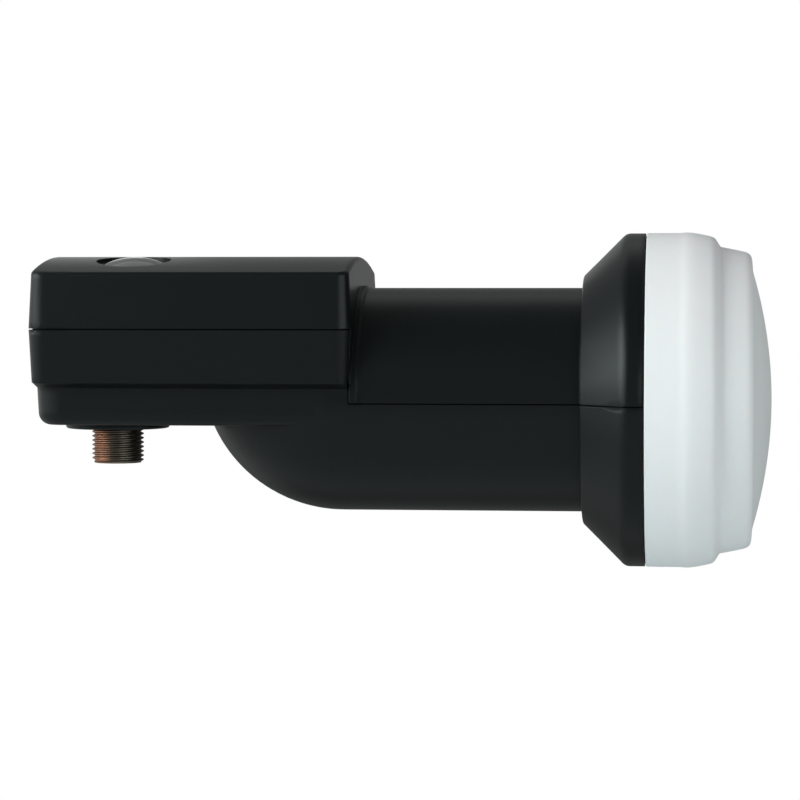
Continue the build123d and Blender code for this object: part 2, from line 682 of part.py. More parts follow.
# Probes, soldered into the board
probe_top_z = BOARD_TOP_Z + PROBE_TAIL
with BuildPart() as probe_vertical:
    with Locations((PROBE_VERTICAL_X, 0, GUIDE_R - PROBE_DEPTH)):
        Cylinder(
            PROBE_R,
            probe_top_z - GUIDE_R + PROBE_DEPTH,
            align=(Align.CENTER, Align.CENTER, Align.MIN),
        )
probe_vertical.part.label = "probe_vertical"
export_step(probe_vertical.part, "parts/probe_vertical.step")

with BuildPart() as probe_horizontal:
    with BuildLine() as probe_path:
        FilletPolyline(
            (PROBE_HORIZONTAL_X, PROBE_LEG_Y, probe_top_z),
            (PROBE_HORIZONTAL_X, PROBE_LEG_Y, 0),
            (PROBE_HORIZONTAL_X, PROBE_DEPTH - GUIDE_R, 0),
            radius=PROBE_BEND_R,
        )
    with BuildSketch(Plane((PROBE_HORIZONTAL_X, PROBE_LEG_Y, probe_top_z), z_dir=(0, 0, -1))):
        Circle(PROBE_R)
    sweep(path=probe_path.wires()[0])
probe_horizontal.part.label = "probe_horizontal"
export_step(probe_horizontal.part, "parts/probe_horizontal.step")

# Insulating bushes where the probes pass through the casting
with BuildPart() as probe_bushes:
    with Locations((PROBE_VERTICAL_X, 0, GUIDE_R)):
        Cylinder(BUSH_R, TRAY_FLOOR_Z - GUIDE_R, align=(Align.CENTER, Align.CENTER, Align.MIN))
        Cylinder(
            PROBE_R + PROBE_FIT,
            TRAY_FLOOR_Z - GUIDE_R,
            align=(Align.CENTER, Align.CENTER, Align.MIN),
            mode=Mode.SUBTRACT,
        )
    with Locations((PROBE_HORIZONTAL_X, PROBE_LEG_Y, TRAY_BOTTOM_Z)):
        Cylinder(BUSH_R, TRAY_FLOOR, align=(Align.CENTER, Align.CENTER, Align.MIN))
        Cylinder(
            PROBE_R + PROBE_FIT,
            TRAY_FLOOR,
            align=(Align.CENTER, Align.CENTER, Align.MIN),
            mode=Mode.SUBTRACT,
        )
    with Locations(Location((PROBE_HORIZONTAL_X, -GUIDE_R, 0), (90, 0, 0))):
        Cylinder(BUSH_R, GUIDE_WALL, align=(Align.CENTER, Align.CENTER, Align.MIN))
        Cylinder(
            PROBE_R + PROBE_FIT,
            GUIDE_WALL,
            align=(Align.CENTER, Align.CENTER, Align.MIN),
            mode=Mode.SUBTRACT,
        )
probe_bushes.part.label = "probe_bushes"
export_step(probe_bushes.part, "parts/probe_bushes.step")

# Circuit board, lying on the floor of the tray
with BuildPart() as circuit_board:
    with BuildSketch(Plane.XY.offset(TRAY_FLOOR_Z)):
        with Locations((TRAY_MID_X, 0)):
            Rectangle(TRAY_LENGTH - 2 * (TRAY_WALL + BOARD_GAP), 2 * (pocket_half - BOARD_GAP))
        with Locations(*pillar_places):
            Circle(PILLAR_R + BOARD_GAP, mode=Mode.SUBTRACT)
        with Locations((PROBE_VERTICAL_X, 0), (PROBE_HORIZONTAL_X, PROBE_LEG_Y)):
            Circle(PROBE_R + PROBE_FIT, mode=Mode.SUBTRACT)
        with Locations((SOCKET_X, 0)):
            Circle(CONTACT_R + PROBE_FIT, mode=Mode.SUBTRACT)
    extrude(amount=BOARD)
circuit_board.part.label = "circuit_board"
export_step(circuit_board.part, "parts/circuit_board.step")

# Gasket on the tray's rim
with BuildPart() as shield_gasket:
    with BuildSketch(Plane.XY.offset(TRAY_RIM_Z)):
        with Locations((TRAY_MID_X, 0)):
            RectangleRounded(TRAY_LENGTH, 2 * TRAY_HALF_WIDTH, TRAY_CORNER_R)
            Rectangle(TRAY_LENGTH - 2 * TRAY_WALL, 2 * pocket_half, mode=Mode.SUBTRACT)
    extrude(amount=GASKET)
shield_gasket.part.label = "shield_gasket"
export_step(shield_gasket.part, "parts/shield_gasket.step")

# Lid, with partition ribs that part the stages of the circuit
lid_rib_depth = TRAY_DEPTH + GASKET - BOARD - LID_RIB_GAP
with BuildPart() as shield_cover:
    with BuildSketch(Plane.XY.offset(LID_Z)):
        with Locations((TRAY_MID_X, 0)):
            RectangleRounded(TRAY_LENGTH, 2 * TRAY_HALF_WIDTH, TRAY_CORNER_R)
        with Locations(*pillar_places):
            Circle(SCREW_R + SCREW_FIT, mode=Mode.SUBTRACT)
    extrude(amount=LID)
    with BuildSketch(Plane.XY.offset(LID_Z)):
        with Locations((LID_RIB_X, 0)):
            Rectangle(LID_RIB, 2 * (pocket_half - BOARD_GAP) - LID_RIB_END)
        with Locations(((LID_RIB_X + pocket_front_x - BOARD_GAP) / 2, LID_RIB_Y)):
            Rectangle(pocket_front_x - BOARD_GAP - LID_RIB_X, LID_RIB)
    extrude(amount=-lid_rib_depth)
shield_cover.part.label = "shield_cover"
export_step(shield_cover.part, "parts/shield_cover.step")

# Six lid screws, one group
with BuildPart() as shield_screws:
    with Locations(*[(x, y, LID_TOP_Z) for x, y in pillar_places]):
        Cylinder(SCREW_HEAD_R, SCREW_HEAD, align=(Align.CENTER, Align.CENTER, Align.MIN))
        Cylinder(SCREW_R, SCREW_LENGTH, align=(Align.CENTER, Align.CENTER, Align.MAX))
    fillet(shield_screws.edges().group_by(Axis.Z)[-1], SCREW_HEAD / 2)
    with BuildSketch(Plane.XY.offset(LID_TOP_Z + SCREW_HEAD)):
        with Locations(*pillar_places):
            Rectangle(SCREW_DRIVE_LENGTH, SCREW_DRIVE_WIDTH)
            Rectangle(SCREW_DRIVE_WIDTH, SCREW_DRIVE_LENGTH)
    extrude(amount=-SCREW_DRIVE, mode=Mode.SUBTRACT)
shield_screws.part.label = "shield_screws"
export_step(shield_screws.part, "parts/shield_screws.step")

# Parts on the board
with BuildPart() as converter_chip:
    with Locations((CHIP_X, CHIP_Y, BOARD_TOP_Z)):
        Box(CHIP_SIZE, CHIP_SIZE, CHIP_HEIGHT, align=(Align.CENTER, Align.CENTER, Align.MIN))
    chamfer(converter_chip.edges().group_by(Axis.Z)[-1], CHIP_EDGE)
converter_chip.part.label = "converter_chip"
export_step(converter_chip.part, "parts/converter_chip.step")

with BuildPart() as lna_transistors:
    with Locations(*board_places(FRONT_TRANSISTORS, [])):
        Box(
            TRANSISTOR_LENGTH,
            TRANSISTOR_WIDTH,
            TRANSISTOR_HEIGHT,
            align=(Align.CENTER, Align.CENTER, Align.MIN),
        )
    chamfer(lna_transistors.edges().group_by(Axis.Z)[-1], CHIP_EDGE)
lna_transistors.part.label = "lna_transistors"
export_step(lna_transistors.part, "parts/lna_transistors.step")

with BuildPart() as crystal:
    with Locations((CHIP_X, CRYSTAL_Y, BOARD_TOP_Z)):
        Box(
            CRYSTAL_LENGTH,
            CRYSTAL_WIDTH,
            CRYSTAL_HEIGHT,
            align=(Align.CENTER, Align.CENTER, Align.MIN),
        )
    fillet(crystal.edges().filter_by(Axis.Z), CRYSTAL_WIDTH / 8)
crystal.part.label = "crystal"
export_step(crystal.part, "parts/crystal.step")

with BuildPart() as voltage_regulator:
    with Locations((REGULATOR_X, REGULATOR_Y, BOARD_TOP_Z)):
        Box(
            REGULATOR_LENGTH,
            REGULATOR_WIDTH,
            REGULATOR_HEIGHT,
            align=(Align.CENTER, Align.CENTER, Align.MIN),
        )
    chamfer(voltage_regulator.edges().group_by(Axis.Z)[-1], CHIP_EDGE)
voltage_regulator.part.label = "voltage_regulator"
export_step(voltage_regulator.part, "parts/voltage_regulator.step")

with BuildPart() as chip_capacitors:
    with Locations(*board_places(FRONT_CAPACITORS, REAR_CAPACITORS)):
        Box(
            PASSIVE_LENGTH,
            PASSIVE_WIDTH,
            CAPACITOR_HEIGHT,
            align=(Align.CENTER, Align.CENTER, Align.MIN),
        )
chip_capacitors.part.label = "chip_capacitors"
export_step(chip_capacitors.part, "parts/chip_capacitors.step")

with BuildPart() as chip_resistors:
    with Locations(*board_places(FRONT_RESISTORS, REAR_RESISTORS)):
        Box(
            PASSIVE_LENGTH,
            PASSIVE_WIDTH,
            RESISTOR_HEIGHT,
            align=(Align.CENTER, Align.CENTER, Align.MIN),
        )
chip_resistors.part.label = "chip_resistors"
export_step(chip_resistors.part, "parts/chip_resistors.step")

with BuildPart() as bias_inductor:
    with BuildSketch(Plane.XZ.offset(-INDUCTOR_Y)):
        with BuildLine():
            Polyline(
                (INDUCTOR_X, BOARD_TOP_Z),
                (INDUCTOR_X + INDUCTOR_R, BOARD_TOP_Z),
                (INDUCTOR_X + INDUCTOR_R, BOARD_TOP_Z + INDUCTOR_FLANGE),
                (INDUCTOR_X + INDUCTOR_CORE_R, BOARD_TOP_Z + INDUCTOR_FLANGE),
                (INDUCTOR_X + INDUCTOR_CORE_R, BOARD_TOP_Z + INDUCTOR_HEIGHT - INDUCTOR_FLANGE),
                (INDUCTOR_X + INDUCTOR_R, BOARD_TOP_Z + INDUCTOR_HEIGHT - INDUCTOR_FLANGE),
                (INDUCTOR_X + INDUCTOR_R, BOARD_TOP_Z + INDUCTOR_HEIGHT),
                (INDUCTOR_X, BOARD_TOP_Z + INDUCTOR_HEIGHT),
                close=True,
            )
        make_face()
    revolve(axis=Axis((INDUCTOR_X, INDUCTOR_Y, 0), (0, 0, 1)))
bias_inductor.part.label = "bias_inductor"
export_step(bias_inductor.part, "parts/bias_inductor.step")

# Threaded coaxial socket, its shoulder against the casting's boss
with BuildPart() as connector_body:
    with Locations((SOCKET_X, 0, SOCKET_END_Z)):
        Cylinder(SOCKET_R, BOSS_Z - SOCKET_END_Z, align=(Align.CENTER, Align.CENTER, Align.MIN))
    chamfer(connector_body.edges().group_by(Axis.Z)[0], SOCKET_CHAMFER)
    with Locations((SOCKET_X, 0, BOSS_Z)):
        Cylinder(
            SOCKET_R - SOCKET_RELIEF,
            SHOULDER_Z - BOSS_Z,
            align=(Align.CENTER, Align.CENTER, Align.MIN),
        )
    with Locations((SOCKET_X, 0, SHOULDER_Z)):
        Cylinder(
            SOCKET_SHANK_R,
            SOCKET_SHANK_TOP_Z - SHOULDER_Z,
            align=(Align.CENTER, Align.CENTER, Align.MIN),
        )
    with Locations((SOCKET_X, 0, SOCKET_END_Z)):
        Cylinder(
            SOCKET_BORE_R,
            SOCKET_SHANK_TOP_Z - SOCKET_END_Z,
            align=(Align.CENTER, Align.CENTER, Align.MIN),
            mode=Mode.SUBTRACT,
        )
connector_body.part.label = "connector_body"
export_step(connector_body.part, "parts/connector_body.step")

insulator_z = SOCKET_END_Z + INSULATOR_FACE
with BuildPart() as connector_insulator:
    with Locations((SOCKET_X, 0, insulator_z)):
        Cylinder(
            SOCKET_BORE_R - SOCKET_FIT,
            SOCKET_SHANK_TOP_Z - insulator_z,
            align=(Align.CENTER, Align.CENTER, Align.MIN),
        )
        Cylinder(
            CONTACT_R + PROBE_FIT,
            SOCKET_SHANK_TOP_Z - insulator_z,
            align=(Align.CENTER, Align.CENTER, Align.MIN),
            mode=Mode.SUBTRACT,
        )
connector_insulator.part.label = "connector_insulator"
export_step(connector_insulator.part, "parts/connector_insulator.step")

with BuildPart() as connector_contact:
    with Locations((SOCKET_X, 0, insulator_z)):
        Cylinder(CONTACT_R, probe_top_z - insulator_z, align=(Align.CENTER, Align.CENTER, Align.MIN))
        Cylinder(
            CONTACT_BORE_R,
            CONTACT_BORE_DEPTH,
            align=(Align.CENTER, Align.CENTER, Align.MIN),
            mode=Mode.SUBTRACT,
        )
connector_contact.part.label = "connector_contact"
export_step(connector_contact.part, "parts/connector_contact.step")

# Rubber ring in the hole of the boss
with BuildPart() as connector_seal:
    with BuildSketch(Plane.XY.offset(BOSS_Z + RING_RECESS)):
        with Locations((SOCKET_X, 0)):
            Circle(BOSS_HOLE_R - RING_FIT)
            Circle(SOCKET_R - SOCKET_RELIEF + RING_FIT, mode=Mode.SUBTRACT)
    extrude(amount=RING_WIDTH)
connector_seal.part.label = "connector_seal"
export_step(connector_seal.part, "parts/connector_seal.step")
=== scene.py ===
"""Looks of a satellite LNB: finishes, turned cap, threaded socket, studio light and camera."""

import json
import logging
import math
from abc import ABC, abstractmethod
from dataclasses import dataclass, field
from enum import Enum
from typing import Any

import bmesh
import bpy
from mathutils import Matrix, Vector

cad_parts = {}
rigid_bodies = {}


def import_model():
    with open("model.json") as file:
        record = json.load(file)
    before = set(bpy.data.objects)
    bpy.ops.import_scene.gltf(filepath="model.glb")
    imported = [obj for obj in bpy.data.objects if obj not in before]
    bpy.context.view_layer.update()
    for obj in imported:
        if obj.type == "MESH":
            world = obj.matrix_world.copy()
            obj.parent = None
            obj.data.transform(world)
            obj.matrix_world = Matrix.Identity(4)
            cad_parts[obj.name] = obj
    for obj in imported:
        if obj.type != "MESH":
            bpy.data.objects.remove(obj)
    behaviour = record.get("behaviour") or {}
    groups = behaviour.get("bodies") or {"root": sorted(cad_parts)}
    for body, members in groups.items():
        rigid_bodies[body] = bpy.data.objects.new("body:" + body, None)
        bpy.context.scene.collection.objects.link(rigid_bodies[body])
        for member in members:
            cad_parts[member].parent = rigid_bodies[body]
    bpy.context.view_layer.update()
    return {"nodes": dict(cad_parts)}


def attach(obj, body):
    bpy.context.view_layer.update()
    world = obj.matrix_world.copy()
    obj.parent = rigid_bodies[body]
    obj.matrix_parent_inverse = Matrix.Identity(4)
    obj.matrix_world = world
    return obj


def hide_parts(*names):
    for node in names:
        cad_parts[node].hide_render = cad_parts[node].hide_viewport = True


for leftover in list(bpy.data.objects):
    bpy.data.objects.remove(leftover)
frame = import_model()

MM = 0.001
BODY = "root"
MIDDLE_X_MM = -22.0
MERGE_MM = 0.001
# Numbers of sockets that share their names with others of their node
MIX_A, MIX_B, MIX_COLOUR = 6, 7, 2
Tree = bpy.types.NodeTree
Socket = bpy.types.NodeSocket
log = logging.getLogger("lnb")


def linear(hex_colour: str) -> tuple[float, float, float, float]:
    """Turn an sRGB hex colour into linear RGBA.

    Args:
        hex_colour: Colour such as "#1A2B3C".

    Returns:
        Red, green, blue and alpha, each from 0 to 1.
    """
    parts = [int(hex_colour[i : i + 2], 16) / 255 for i in (1, 3, 5)]
    red, green, blue = (c / 12.92 if c <= 0.04045 else ((c + 0.055) / 1.055) ** 2.4 for c in parts)
    return red, green, blue, 1.0


def cells(size_mm: float) -> float:
    """Turn the real size of a pattern into the number of its cells in a metre."""
    return 1 / (size_mm * MM)


def feed(tree: Tree, node: bpy.types.Node, inputs: dict[Any, Any]) -> None:
    """Set or link the inputs of a node.

    Args:
        tree: Node tree that holds the node.
        node: The node.
        inputs: Input name or number to its value, or to the output socket that feeds it.
    """
    for key, value in inputs.items():
        if isinstance(value, Socket):
            tree.links.new(value, node.inputs[key])
        else:
            node.inputs[key].default_value = value


def add_node(
    tree: Tree, kind: str, inputs: dict[Any, Any], output: Any = 0, **settings: Any
) -> Socket:
    """Add a node, set its properties, and set or link its inputs.

    Args:
        tree: Node tree that takes the node.
        kind: Type of the node.
        inputs: Input name or number to its value, or to the output socket that feeds it.
        output: Name or number of the output that is wanted.
        settings: Properties of the node.

    Returns:
        That output of the new node.
    """
    node = tree.nodes.new(kind)
    for name, value in settings.items():
        setattr(node, name, value)
    feed(tree, node, inputs)
    return node.outputs[output]


def make_piece(name: str, mesh: bmesh.types.BMesh) -> bpy.types.Object:
    """Turn a finished mesh into an object at the origin.

    Args:
        name: Name of the piece.
        mesh: Its mesh, which is freed.

    Returns:
        The piece.
    """
    data = bpy.data.meshes.new(name)
    mesh.to_mesh(data)
    mesh.free()
    piece = bpy.data.objects.new(name, data)
    bpy.context.scene.collection.objects.link(piece)
    return piece


def dress(piece: bpy.types.Object, material: bpy.types.Material) -> None:
    """Give a piece its one material.

    Args:
        piece: The piece.
        material: What it is made of.
    """
    piece.data.materials.clear()
    piece.data.materials.append(material)


def smooth(piece: bpy.types.Object, sharp_deg: float) -> None:
    """Shade a piece smooth, apart from its sharp edges.

    Args:
        piece: The piece.
        sharp_deg: Angle from which an edge stays sharp.
    """
    for face in piece.data.polygons:
        face.use_smooth = True
    piece.data.set_sharp_from_angle(angle=math.radians(sharp_deg))


class Slot(Enum):
    """Material slots of the record."""

    SHELL = "shell_black"
    BADGE = "badge_silver"
    CAP = "cap_white"
    SEAL = "seal_rubber"
    CASTING = "cast_aluminium"
    STEEL = "plated_steel"
    BRASS = "probe_brass"
    BUSH = "bush_white"
    BOARD = "board_laminate"
    CHIP = "chip_black"
    CAPACITOR = "capacitor_tan"
    FERRITE = "ferrite_grey"
    SOCKET = "socket_nickel"


@dataclass(frozen=True, kw_only=True)
class Finish(ABC):
    """A material and how its surface was made."""

    name: str
    colour: str
    shade: str
    roughness: float

    def material(self) -> bpy.types.Material:
        """Build the material.

        Returns:
            A node material on Object coordinates.
        """
        made = bpy.data.materials.new(self.name)
        made.use_nodes = True
        tree = made.node_tree
        place = add_node(tree, "ShaderNodeTexCoord", {}, "Object")
        self.surface(tree, tree.nodes["Principled BSDF"], place)
        return made

    @abstractmethod
    def surface(self, tree: Tree, shader: bpy.types.Node, place: Socket) -> None:
        """Wire up colour, gloss and relief.

        Args:
            tree: The material's nodes.
            shader: The shader they feed.
            place: Coordinates on the part, in metres.
        """


@dataclass(frozen=True, kw_only=True)
class Moulded(Finish):
    """A moulded, turned or pressed finish whose grain comes from the tool's face."""

    specular: float
    grain_mm: float
    grain_depth_mm: float
    mottle_mm: float
    edge_mm: float
    subsurface: float = 0.0
    subsurface_mm: float = 2.0
    sheen: str = "#FFFFFF"
    gloss_spread: float = 0.04
    grain_detail: float = 2.0
    mottle_detail: float = 4.0
    end_edge_mm: float = 0.0
    end_reach_mm: float = 200.0
    end_blend_mm: float = 2.0
    edge_samples: int = 4

    def edge_radius(self, tree: Tree, place: Socket) -> Socket:
        """Round the edges near the part's two ends more than those in its middle.

        Args:
            tree: The material's nodes.
            place: Coordinates on the part, in metres.

        Returns:
            Radius of the edges, in metres.
        """
        along = add_node(tree, "ShaderNodeSeparateXYZ", {0: place}, "X")
        middle = {0: along, 1: MIDDLE_X_MM * MM}
        offset = add_node(tree, "ShaderNodeMath", middle, operation="SUBTRACT")
        reach = add_node(tree, "ShaderNodeMath", {0: offset}, operation="ABSOLUTE")
        start, end = self.end_reach_mm * MM, (self.end_reach_mm + self.end_blend_mm) * MM
        radii = {
            "Value": reach,
            "From Min": start,
            "From Max": end,
            "To Min": self.edge_mm * MM,
            "To Max": self.end_edge_mm * MM,
        }
        return add_node(tree, "ShaderNodeMapRange", radii)

    def surface(self, tree: Tree, shader: bpy.types.Node, place: Socket) -> None:
        """Wire up a clouded colour, a grained gloss and soft edges.

        Args:
            tree: The material's nodes.
            shader: The shader they feed.
            place: Coordinates on the part, in metres.
        """
        mottle = {"Vector": place, "Scale": cells(self.mottle_mm), "Detail": self.mottle_detail}
        clouds = add_node(tree, "ShaderNodeTexNoise", mottle)
        fine = {"Vector": place, "Scale": cells(self.grain_mm), "Detail": self.grain_detail}
        grain = add_node(tree, "ShaderNodeTexNoise", fine)
        radius = {"Radius": self.edge_radius(tree, place)}
        edge = add_node(tree, "ShaderNodeBevel", radius, samples=self.edge_samples)
        depth = self.grain_depth_mm * MM
        relief = {"Height": grain, "Normal": edge, "Strength": 1.0, "Distance": depth}
        low, high = self.roughness - self.gloss_spread, self.roughness + self.gloss_spread
        gloss = {"Value": grain, "To Min": low, "To Max": high}
        colours = {0: clouds, MIX_A: linear(self.colour), MIX_B: linear(self.shade)}
        inputs = {
            "Specular IOR Level": self.specular,
            "Specular Tint": linear(self.sheen),
            "Subsurface Weight": self.subsurface,
            "Subsurface Scale": self.subsurface_mm * MM,
            "Base Color": add_node(tree, "ShaderNodeMix", colours, MIX_COLOUR, data_type="RGBA"),
            "Roughness": add_node(tree, "ShaderNodeMapRange", gloss),
            "Normal": add_node(tree, "ShaderNodeBump", relief),
        }
        feed(tree, shader, inputs)


@dataclass(frozen=True, kw_only=True)
class Metal(Finish):
    """A plated, cast or drawn metal with a fine uneven surface."""

    patch_mm: float
    pit_mm: float
    pit_depth_mm: float
    patch_detail: float = 5.0
    pit_detail: float = 3.0
    patch_from: float = 0.35
    patch_to: float = 0.7
    gloss_less: float = 0.06
    gloss_more: float = 0.1

    def patches(self, tree: Tree, place: Socket) -> Socket:
        """Spread patches over the surface.

        Args:
            tree: The material's nodes.
            place: Coordinates on the part, in metres.

        Returns:
            The patches, around 0.5.
        """
        spread = {"Vector": place, "Scale": cells(self.patch_mm), "Detail": self.patch_detail}
        return add_node(tree, "ShaderNodeTexNoise", spread)

    def tint(self, tree: Tree, place: Socket) -> Socket:
        """Spread the tarnish in patches.

        Args:
            tree: The material's nodes.
            place: Coordinates on the part, in metres.

        Returns:
            The colour.
        """
        ends = {
            "Value": self.patches(tree, place),
            "From Min": self.patch_from,
            "From Max": self.patch_to,
        }
        share = add_node(tree, "ShaderNodeMapRange", ends)
        colours = {0: share, MIX_A: linear(self.colour), MIX_B: linear(self.shade)}
        return add_node(tree, "ShaderNodeMix", colours, MIX_COLOUR, data_type="RGBA")

    def surface(self, tree: Tree, shader: bpy.types.Node, place: Socket) -> None:
        """Wire up patches of tarnish and shallow pits.

        Args:
            tree: The material's nodes.
            shader: The shader they feed.
            place: Coordinates on the part, in metres.
        """
        fine = {"Vector": place, "Scale": cells(self.pit_mm), "Detail": self.pit_detail}
        pits = add_node(tree, "ShaderNodeTexNoise", fine)
        relief = {"Height": pits, "Strength": 1.0, "Distance": self.pit_depth_mm * MM}
        low, high = self.roughness - self.gloss_less, self.roughness + self.gloss_more
        gloss = {"Value": self.patches(tree, place), "To Min": low, "To Max": high}
        inputs = {
            "Metallic": 1.0,
            "Base Color": self.tint(tree, place),
            "Roughness": add_node(tree, "ShaderNodeMapRange", gloss),
            "Normal": add_node(tree, "ShaderNodeBump", relief),
        }
        feed(tree, shader, inputs)


@dataclass(frozen=True, kw_only=True)
class PlateWithPaintedReflection(Metal):
    """Tarnished plating with a painted warm reflection over one side, broken into patches."""

    painted_reflection: str
    axis_x_mm: float
    unreflected_x_mm: float
    reflected_x_mm: float
    reflection_patch_from: float = 0.3
    reflection_patch_to: float = 0.7
    reflection_patch_least: float = 0.6

    def tint(self, tree: Tree, place: Socket) -> Socket:
        """Paint a warm reflection over one side of the tarnished plate, in patches.

        Args:
            tree: The material's nodes.
            place: Coordinates on the part, in metres.

        Returns:
            The colour.
        """
        # Painted warm reflection: it fades in across the axis towards -X, and patches break it up
        centre = {"Vector": place, "Location": (-self.axis_x_mm * MM, 0, 0)}
        centred = add_node(tree, "ShaderNodeMapping", centre)
        across = add_node(tree, "ShaderNodeSeparateXYZ", {0: centred}, "X")
        ends = {"Value": across, "From Min": self.unreflected_x_mm * MM, "From Max": self.reflected_x_mm * MM}
        side = add_node(tree, "ShaderNodeMapRange", ends, interpolation_type="SMOOTHSTEP")
        reflection_patches = {
            "Value": self.patches(tree, place),
            "From Min": self.reflection_patch_from,
            "From Max": self.reflection_patch_to,
            "To Min": self.reflection_patch_least,
        }
        share = {0: side, 1: add_node(tree, "ShaderNodeMapRange", reflection_patches)}
        reflection_share = add_node(tree, "ShaderNodeMath", share, operation="MULTIPLY")
        colours = {0: reflection_share, MIX_A: super().tint(tree, place), MIX_B: linear(self.painted_reflection)}
        return add_node(tree, "ShaderNodeMix", colours, MIX_COLOUR, data_type="RGBA")


@dataclass(frozen=True, kw_only=True)
class DomedFoil(Finish):
    """Brushed silver foil under a poured dome of clear resin."""

    line_mm: float
    stretch: float = 24.0
    line_detail: float = 2.0
    gloss_less: float = 0.05
    gloss_more: float = 0.1
    coat_roughness: float = 0.03

    def surface(self, tree: Tree, shader: bpy.types.Node, place: Socket) -> None:
        """Wire up fine brushed lines under a glossy coat.

        Args:
            tree: The material's nodes.
            shader: The shader they feed.
            place: Coordinates on the part, in metres.
        """
        drawn = {"Vector": place, "Scale": (1.0, self.stretch, self.stretch)}
        lines = {
            "Vector": add_node(tree, "ShaderNodeMapping", drawn),
            "Scale": cells(self.stretch * self.line_mm),
            "Detail": self.line_detail,
        }
        brush = add_node(tree, "ShaderNodeTexNoise", lines)
        low, high = self.roughness - self.gloss_less, self.roughness + self.gloss_more
        gloss = {"Value": brush, "To Min": low, "To Max": high}
        colours = {0: brush, MIX_A: linear(self.colour), MIX_B: linear(self.shade)}
        inputs = {
            "Metallic": 1.0,
            "Coat Weight": 1.0,
            "Coat Roughness": self.coat_roughness,
            "Base Color": add_node(tree, "ShaderNodeMix", colours, MIX_COLOUR, data_type="RGBA"),
            "Roughness": add_node(tree, "ShaderNodeMapRange", gloss),
        }
        feed(tree, shader, inputs)


FINISHES: dict[Slot, Finish] = {
    # ASA, moulded in a spark-eroded tool: near black, even, with a dry and slightly cool sheen.
    Slot.SHELL: Moulded(
        name="moulded_black_asa",
        colour="#0A0E0F",
        shade="#0D1112",
        roughness=0.33,
        specular=0.25,
        grain_mm=0.4,
        grain_depth_mm=0.009,
        mottle_mm=9.0,
        edge_mm=0.3,
        sheen="#EEFFFB",
        end_edge_mm=1.5,
        end_reach_mm=46.0,
    ),
    # Polypropylene, moulded in a polished tool: milky and soft, faintly blue.
    Slot.CAP: Moulded(
        name="moulded_white_polypropylene",
        colour="#EBEEEE",
        shade="#E7ECEC",
        roughness=0.45,
        specular=0.4,
        grain_mm=1.2,
        grain_depth_mm=0.004,
        mottle_mm=14.0,
        edge_mm=0.3,
        subsurface=0.15,
        end_edge_mm=1.0,
        end_reach_mm=56.0,
    ),
    # Nitrile rubber, moulded: dull, near black.
    Slot.SEAL: Moulded(
        name="moulded_nitrile_rubber",
        colour="#141414",
        shade="#1B1A19",
        roughness=0.75,
        specular=0.3,
        grain_mm=0.3,
        grain_depth_mm=0.01,
        mottle_mm=4.0,
        edge_mm=0.1,
    ),
    # Fluoropolymer rod, turned: waxy white.
    Slot.BUSH: Moulded(
        name="turned_fluoropolymer",
        colour="#EDEBE4",
        shade="#E4E1D8",
        roughness=0.5,
        specular=0.4,
        grain_mm=0.3,
        grain_depth_mm=0.006,
        mottle_mm=3.0,
        edge_mm=0.1,
    ),
    # Epoxy glass laminate, pressed, under green solder mask: the weave clouds the green.
    Slot.BOARD: Moulded(
        name="pressed_epoxy_glass",
        colour="#1D5B35",
        shade="#17482B",
        roughness=0.4,
        specular=0.5,
        grain_mm=0.4,
        grain_depth_mm=0.01,
        mottle_mm=6.0,
        edge_mm=0.05,
    ),
    # Epoxy, transfer-moulded: fine matt black.
    Slot.CHIP: Moulded(
        name="moulded_epoxy",
        colour="#17181A",
        shade="#1F2022",
        roughness=0.55,
        specular=0.4,
        grain_mm=0.15,
        grain_depth_mm=0.006,
        mottle_mm=2.0,
        edge_mm=0.05,
    ),
    # Ceramic, fired: matt tan.
    Slot.CAPACITOR: Moulded(
        name="fired_ceramic",
        colour="#A98355",
        shade="#9A7447",
        roughness=0.6,
        specular=0.4,
        grain_mm=0.15,
        grain_depth_mm=0.006,
        mottle_mm=1.0,
        edge_mm=0.05,
    ),
    # Ferrite, sintered: dark grey, slightly granular.
    Slot.FERRITE: Moulded(
        name="sintered_ferrite",
        colour="#3A3A3C",
        shade="#2D2D30",
        roughness=0.6,
        specular=0.4,
        grain_mm=0.2,
        grain_depth_mm=0.01,
        mottle_mm=1.5,
        edge_mm=0.05,
    ),
    # Brushed foil under clear resin: silver lines below a sharp gloss.
    Slot.BADGE: DomedFoil(
        name="foil_under_resin",
        colour="#7B807F",
        shade="#616766",
        roughness=0.42,
        line_mm=0.06,
    ),
    # Aluminium, die-cast and left as cast: grey and grainy.
    Slot.CASTING: Metal(
        name="die_cast_aluminium",
        colour="#A9ABAD",
        shade="#8D9092",
        roughness=0.45,
        patch_mm=6.0,
        pit_mm=0.5,
        pit_depth_mm=0.02,
    ),
    # Steel, zinc plated: bright with a faint bloom.
    Slot.STEEL: Metal(
        name="zinc_plated_steel",
        colour="#C6C8CA",
        shade="#A9ACB0",
        roughness=0.3,
        patch_mm=2.0,
        pit_mm=0.3,
        pit_depth_mm=0.004,
    ),
    # Brass, drawn: yellow, duller in patches.
    Slot.BRASS: Metal(
        name="drawn_brass",
        colour="#C9A24E",
        shade="#A98238",
        roughness=0.3,
        patch_mm=1.5,
        pit_mm=0.2,
        pit_depth_mm=0.004,
    ),
    # Brass, turned and nickel plated: dull grey, with a painted copper-coloured reflection on its
    # -X side, towards the key lamp.
    Slot.SOCKET: PlateWithPaintedReflection(
        name="nickel_plated_brass",
        colour="#827E74",
        shade="#6A655B",
        roughness=0.3,
        patch_mm=1.6,
        pit_mm=0.25,
        pit_depth_mm=0.004,
        # Colour of the painted warm reflection, and where across the axis it fades in
        painted_reflection="#A67B62",
        axis_x_mm=-64.7,
        unreflected_x_mm=1.0,
        reflected_x_mm=-3.0,
    ),
}


